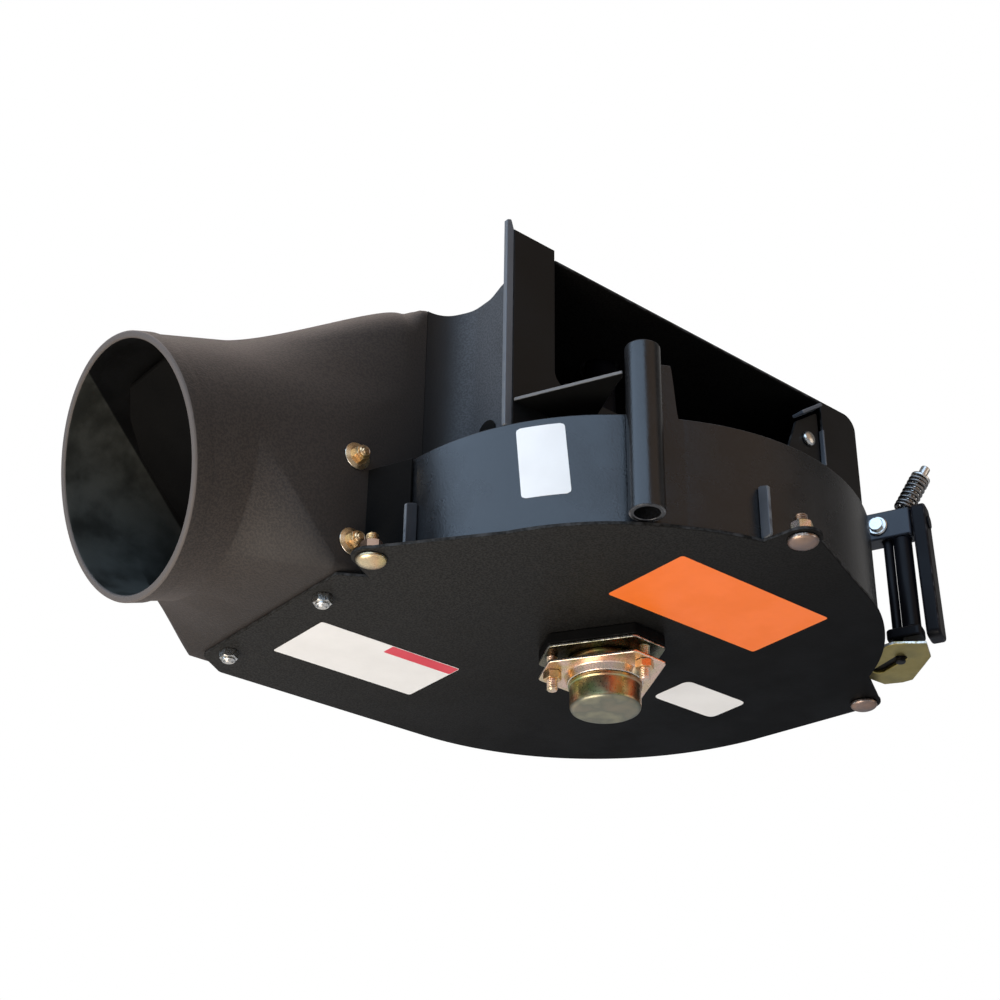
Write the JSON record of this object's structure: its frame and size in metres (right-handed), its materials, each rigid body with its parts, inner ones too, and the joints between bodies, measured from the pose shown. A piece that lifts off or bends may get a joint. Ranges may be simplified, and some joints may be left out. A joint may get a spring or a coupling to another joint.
{
  "type": "grass collector blower",
  "caption": "Centrifugal blower with a spiral steel housing, open inlet hood, moulded round outlet boot, flanged shaft bearing, hinge tube and sprung lever latch.",
  "frame": {"origin": "centre of the flat end face of the bearing cap, on the shaft axis", "axes": "+Z along the shaft from the cap towards the hood roof, +X from the outlet mouth towards the latch, +Y from the open inlet towards the back of the scroll"},
  "size_m": [0.6265, 0.4614, 0.357],
  "materials": {
    "plate_paint": "matte black paint",
    "band_paint": "satin black paint",
    "frame_paint": "matte black paint",
    "cast_iron": "as cast, dark",
    "arm_paint": "satin blue-black paint",
    "black_oxide": "black oxide",
    "moulded_plastic": "fine moulded grain",
    "yellow_zinc": "yellow zinc plate",
    "copper_zinc": "copper-tinted zinc plate",
    "bright_zinc": "bright zinc plate"
  },
  "bodies": {
    "housing": {"bottom_plate": "plate_paint", "eye_plate": "plate_paint", "hood_roof": "plate_paint", "scroll_band": "band_paint", "band_rib_1": "band_paint", "band_rib_2": "band_paint", "hood_back_wall": "band_paint", "hood_left_wall": "band_paint", "left_post": "band_paint", "web_plate": "band_paint", "hinge_tube": "band_paint", "corner_lip": "band_paint", "outlet_ramp": "band_paint", "tongue_strip": "band_paint", "inlet_frame": "frame_paint", "corner_gusset": "frame_paint", "bearing_spacer": "frame_paint", "upper_bearing": "cast_iron", "latch_arm": "arm_paint", "latch_sleeve": "black_oxide", "latch_foot": "black_oxide", "latch_pivot": "black_oxide", "outlet_boot": "moulded_plastic", "ear_bolt_1": "yellow_zinc", "ear_bolt_2": "yellow_zinc", "ear_bolt_3": "yellow_zinc", "boot_washer_1": "yellow_zinc", "boot_washer_2": "yellow_zinc", "boot_bolt_1": "yellow_zinc", "boot_bolt_2": "yellow_zinc", "bearing_flange_lower": "yellow_zinc", "bearing_flange_upper": "yellow_zinc", "hub_cap": "yellow_zinc", "catch_plate": "yellow_zinc", "ear_nut_1": "copper_zinc", "ear_nut_2": "copper_zinc", "ear_nut_3": "copper_zinc", "corner_bolt": "bright_zinc", "plate_bolt_1": "bright_zinc", "plate_bolt_2": "bright_zinc", "bearing": "bright_zinc", "flange_bolt_1": "bright_zinc", "flange_bolt_2": "bright_zinc", "flange_bolt_3": "bright_zinc", "latch_bolt": "bright_zinc", "latch_spring": "bright_zinc"},
    "rotor": {"shaft": "bright_zinc", "impeller_disc": "band_paint", "impeller_hub": "cast_iron", "drive_pulley": "cast_iron", "pulley_nut": "bright_zinc", "impeller_blade_1": "band_paint", "impeller_blade_2": "band_paint", "impeller_blade_3": "band_paint", "impeller_blade_4": "band_paint", "impeller_blade_5": "band_paint", "impeller_blade_6": "band_paint"},
    "lever": {"latch_lever": "black_oxide"},
    "pin": {"lock_pin": "black_oxide"},
    "plunger": {"plunger": "bright_zinc"}
  },
  "joints": [
    {"name": "rotor_spin", "type": "hinge", "parent": "housing", "child": "rotor", "pos_m": [0, 0, 0.1], "axis": [0, 0, 1], "continuous": true},
    {"name": "lever_swing", "type": "hinge", "parent": "housing", "child": "lever", "pos_m": [0.2195, -0.1377, 0.18], "axis": [0.417, -0.9089, 0], "range_deg": [0, 80]},
    {"name": "pin_lift", "type": "slide", "parent": "housing", "child": "pin", "axis": [0, 0, 1], "range_m": [0, 0.015]},
    {"name": "plunger_press", "type": "slide", "parent": "housing", "child": "plunger", "axis": [-0.3685, 0.338, -0.866], "range_m": [0, 0.006], "stiffness_N_per_m": 1500, "springref_m": -0.004, "deforming": ["latch_spring"]}
  ],
  "couplings": [
    {"joint": "pin_lift", "follows": "lever_swing", "m_per_rad": 0.0107}
  ]
}
